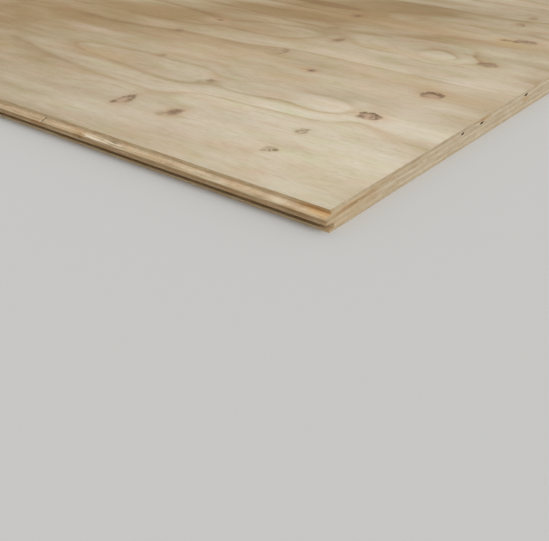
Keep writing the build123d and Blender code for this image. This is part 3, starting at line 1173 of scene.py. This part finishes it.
# Small dark marks that the photograph shows in and by the knots: along, across, two radii and strength
seen_marks = np.array(
    [
        (-87, 163, 5.2, 4.8, 1.00),
        (-72, 171, 5.0, 4.6, 1.00),
        (-70, 250, 4.8, 4.0, 0.80),
        (-293, 59, 5.0, 5.8, 1.00),
        (-290, 83, 3.6, 4.4, 0.50),
        (-226, 74, 4.8, 5.6, 1.00),
        (-235, 64, 7.0, 7.0, 0.35),
        (-109, 102, 3.4, 3.2, 0.70),
        (-104, 110, 3.0, 3.0, 0.60),
        (-107, 54, 3.4, 3.2, 0.70),
        (-99, 60, 3.6, 3.4, 1.00),
        (-73, 357, 4.4, 4.4, 0.75),
        (-92, 446, 4.4, 3.8, 0.80),
        (-79, 447, 5.0, 3.8, 0.90),
        (-70, 454, 5.0, 4.0, 1.00),
        (-261, 158, 3.6, 3.8, 0.65),
        (-268, 148, 4.0, 6.0, 0.30),
        (-405, 329, 7.0, 5.0, 0.75),
        (-417, 267, 4.4, 4.0, 0.50),
        (-300, 122, 9.0, 5.0, 0.22),
        (-277, 376, 5.0, 4.0, 0.40),
        (-243, 345, 3.6, 4.0, 0.45),
        (-200, 240, 3.8, 3.0, 0.45),
        (-281, 440, 4.6, 5.0, 1.00),
    ]
)


shown_length = 740
shown_width = 660


def in_view(x, y):
    """Whether a place lies in the part of the face that the photograph shows."""
    return x > near_x - shown_length and y < near_y + shown_width


hidden_knots = whorl_knots(61, np.arange(-1130, 1240, 168.0), in_view)
face_knots = np.concatenate([seen_knots + [near_x, near_y, 0, 0, 0, 0, 0], hidden_knots])
shown_marks = np.pad(seen_marks + [near_x, near_y, 0, 0, 0], ((0, 0), (0, 2)))
face_marks = np.concatenate([shown_marks, rim_marks(65, hidden_knots)])

# Tints that the photograph shows: along and across from the near corner, half lengths, brown, orange, pink
seen_tints = np.array(
    [
        (-60, 120, 210, 95, -0.34, 0.00, 0.08),
        (-60, 15, 130, 45, -0.40, 0.00, 0.00),
        (-380, 60, 200, 55, -0.04, 0.00, 0.10),
        (-200, 300, 200, 60, -0.10, 0.10, 0.00),
        (-620, 230, 150, 90, 0.30, 0.18, 0.00),
        (-470, 320, 130, 60, 0.32, 0.14, 0.00),
        (-330, 410, 120, 55, 0.34, 0.10, 0.00),
        (-340, 250, 110, 30, 0.05, 0.22, 0.00),
        (-210, 205, 45, 16, 0.00, 0.40, 0.00),
        (-120, 262, 60, 14, 0.00, 0.28, 0.05),
        (-190, 15, 55, 14, 0.00, 0.30, 0.00),
        (-90, 12, 25, 8, 0.00, 0.35, 0.00),
        (-60, 45, 30, 10, 0.10, 0.30, 0.00),
        (-560, 110, 60, 12, 0.00, 0.35, 0.00),
        (-300, 475, 90, 40, 0.45, 0.08, 0.00),
        (-230, 505, 60, 22, 0.40, 0.00, 0.00),
        (-440, 400, 60, 30, 0.25, 0.10, 0.00),
        (-245, 465, 28, 14, -0.35, 0.00, 0.00),
        (-180, 432, 130, 20, 0.00, 0.30, 0.05),
        (-170, 343, 60, 9, 0.00, 0.40, 0.00),
        (-110, 235, 60, 22, 0.00, 0.22, 0.20),
        (-25, 250, 40, 18, 0.00, 0.40, 0.00),
        (-135, 40, 30, 8, 0.00, 0.50, 0.00),
        (-410, 153, 48, 9, 0.00, 0.45, 0.00),
        (-78, 435, 22, 12, 0.00, 0.45, 0.00),
        (-180, 163, 24, 7, 0.00, 0.35, 0.00),
        (-55, 290, 22, 14, -0.10, 0.00, 0.55),
        (-402, 325, 24, 12, 0.15, 0.05, 0.30),
        (-30, 320, 30, 40, -0.10, 0.00, 0.25),
        (-500, 215, 40, 10, 0.00, 0.00, 0.35),
        (-82, 43, 34, 18, -0.30, 0.00, 0.00),
        (-125, 168, 40, 11, -0.30, 0.00, 0.00),
        (-380, 130, 60, 9, -0.25, 0.00, 0.00),
        (-112, 354, 30, 16, -0.10, 0.00, 0.00),
        (-180, 580, 90, 45, 0.00, 0.00, 0.15),
        (-640, 205, 90, 50, 0.20, 0.00, 0.00),
        (-500, 310, 110, 35, 0.18, 0.04, 0.00),
        (-320, 435, 80, 34, 0.12, 0.06, 0.00),
        (-200, 530, 120, 40, 0.18, 0.00, 0.00),
        (-470, 60, 90, 50, 0.20, 0.04, 0.00),
        (-400, 168, 60, 22, 0.14, 0.08, 0.00),
        (-288, 254, 40, 15, -0.20, 0.00, 0.00),
        (-200, 60, 90, 42, 0.00, 0.00, 0.22),
        (-52, 175, 36, 60, -0.14, 0.00, 0.30),
        (-82, 166, 6, 6, 0.10, 0.00, 0.30),
        (-105, 188, 12, 9, -0.15, 0.00, 0.10),
        (-88, 191, 8, 6, 0.00, 0.30, 0.00),
        (-66, 239, 8, 5, 0.00, 0.35, 0.00),
        (-78, 270, 16, 9, 0.00, 0.30, 0.00),
        (-405, 332, 16, 9, 0.00, 0.45, 0.00),
        (-92, 446, 12, 8, 0.00, 0.40, 0.00),
        (-207, 239, 8, 5, 0.00, 0.30, 0.00),
        (-268, 172, 10, 8, 0.00, 0.35, 0.00),
        (-116, 52, 8, 8, 0.00, 0.30, 0.00),
        (-50, 60, 60, 35, 0.00, 0.08, 0.00),
        (-160, 447, 60, 16, 0.06, 0.10, 0.00),
        (-350, 410, 70, 30, 0.16, 0.00, 0.00),
        (-260, 475, 80, 30, 0.14, 0.02, 0.00),
        (-490, 208, 55, 22, 0.18, 0.06, 0.00),
        (-185, 420, 90, 20, 0.12, 0.04, 0.00),
        (-305, 205, 40, 22, 0.00, 0.16, 0.00),
        (-270, 45, 60, 28, 0.08, 0.00, 0.05),
        (-380, 35, 50, 25, 0.14, 0.00, 0.00),
        (-42, 428, 26, 24, 0.12, 0.08, 0.00),
        (-22, 285, 20, 24, 0.00, 0.15, 0.00),
        (-600, 250, 95, 32, 0.13, 0.00, 0.00),
        (-430, 362, 38, 16, 0.15, 0.00, 0.00),
        (-310, 440, 60, 24, 0.14, 0.04, 0.00),
        (-500, 100, 40, 22, 0.09, 0.00, 0.00),
        (-135, 457, 42, 15, 0.08, 0.06, 0.00),
        (-512, 228, 60, 15, 0.13, 0.07, 0.00),
        (-325, 232, 40, 14, 0.00, 0.10, 0.00),
        (-290, 455, 60, 16, 0.12, 0.02, 0.00),
        (-238, 384, 40, 14, -0.16, 0.00, 0.00),
        (-86, 398, 42, 18, -0.13, 0.00, 0.00),
        (-350, 210, 60, 18, 0.06, 0.14, 0.00),
        (-326, 320, 50, 16, 0.05, 0.14, 0.00),
        (-760, 400, 230, 120, 0.24, 0.06, 0.00),
        (-480, 600, 260, 90, 0.22, 0.04, 0.00),
        (-960, 220, 240, 100, 0.14, 0.03, 0.00),
    ]
)


def face_tints(x, y):
    """Tints of the face: chance ones, fading where the photograph's own patches, each a bell, take over."""
    plain = np.array([0.50, 0.04, 0.06])
    fade_from = 20
    from_x, from_y = x - near_x, y - near_y
    past = np.stack([(-shown_length - fade_from - from_x) / 90, (from_y - shown_width - fade_from) / 60], 1)
    seen = 0.8 * np.exp(-(np.clip(past, 0, 4) ** 2).sum(1))[:, None]
    tint = soft_tints(x, y, 62) * (1 - seen) + seen * plain
    for spot_x, spot_y, half_length, half_width, *amounts in seen_tints:
        reach = ((from_x - spot_x) / half_length) ** 2 + ((from_y - spot_y) / half_width) ** 2
        tint += np.exp(-reach)[:, None] * np.array(amounts)
    return np.clip(tint, 0, 1)


def face_relief(x, y):
    """The sanded face: very low waves along the grain, a few opened checks, and dishes at the knots."""
    waves = 0.02 * (1 + drift(x / 90, y / 11, 63))
    checks = 0.12 * np.clip(drift(x / 70, y / 6, 64) - 0.78, 0, 1)
    return waves + checks + knot_dishes(x, y, face_knots)


sanded_face = peeled_pine(
    "sanded_pine_face", (0.78, 0.722, 0.575, 1), (0.328, 0.224, 0.095, 1), (0.77, 0.68, 0.54, 1), 0.00008
)
face, face_base = add_veneer("face_veneer_cut", 6, True, face_relief, -1, sanded_face)
face_x, face_y = face_base[:, 0], face_base[:, 1]
face_ring = face_rings(face_x, face_y, 11) + knot_swell(face_x, face_y, hidden_knots)
store_figure(face, face_base, face_ring, face_knots, face_marks, face_tints(face_x, face_y))

# Floor and light
# The sheet lies on a plain pale floor. One broad soft light from beyond the sawn end and an even sky light
# them both.
floor_side = 16.0
floor_mesh = bpy.data.meshes.new("pale_floor")
floor_corners = np.array([(-1, -1, 0), (1, -1, 0), (1, 1, 0), (-1, 1, 0)]) * floor_side / 2
floor_mesh.from_pydata(floor_corners.tolist(), [], [(0, 1, 2, 3)])
floor = bpy.data.objects.new("pale_floor", floor_mesh)
bpy.context.scene.collection.objects.link(floor)
floor_paint, _, floor_surface = blank_material("pale_floor", 0.1)
floor_surface.inputs["Roughness"].default_value = 0.9
floor_surface.inputs["Base Color"].default_value = (0.62, 0.615, 0.60, 1)
floor_mesh.materials.append(floor_paint)

sky = bpy.data.worlds.new("even_sky")
bpy.context.scene.world = sky
sky.use_nodes = True
sky.node_tree.nodes["Background"].inputs["Color"].default_value = (1.0, 1.0, 1.0, 1)
sky.node_tree.nodes["Background"].inputs["Strength"].default_value = 0.6

day_light = bpy.data.lights.new("soft_day_light", "SUN")
day_light.energy = 1.75
day_light.angle = 0.8
day_holder = bpy.data.objects.new("soft_day_light", day_light)
bpy.context.scene.collection.objects.link(day_holder)
light_heading = Vector((-1.0, 0.2, -0.72))
day_holder.rotation_euler = light_heading.to_track_quat("-Z", "Y").to_euler()

bpy.context.scene.view_settings.view_transform = "Standard"
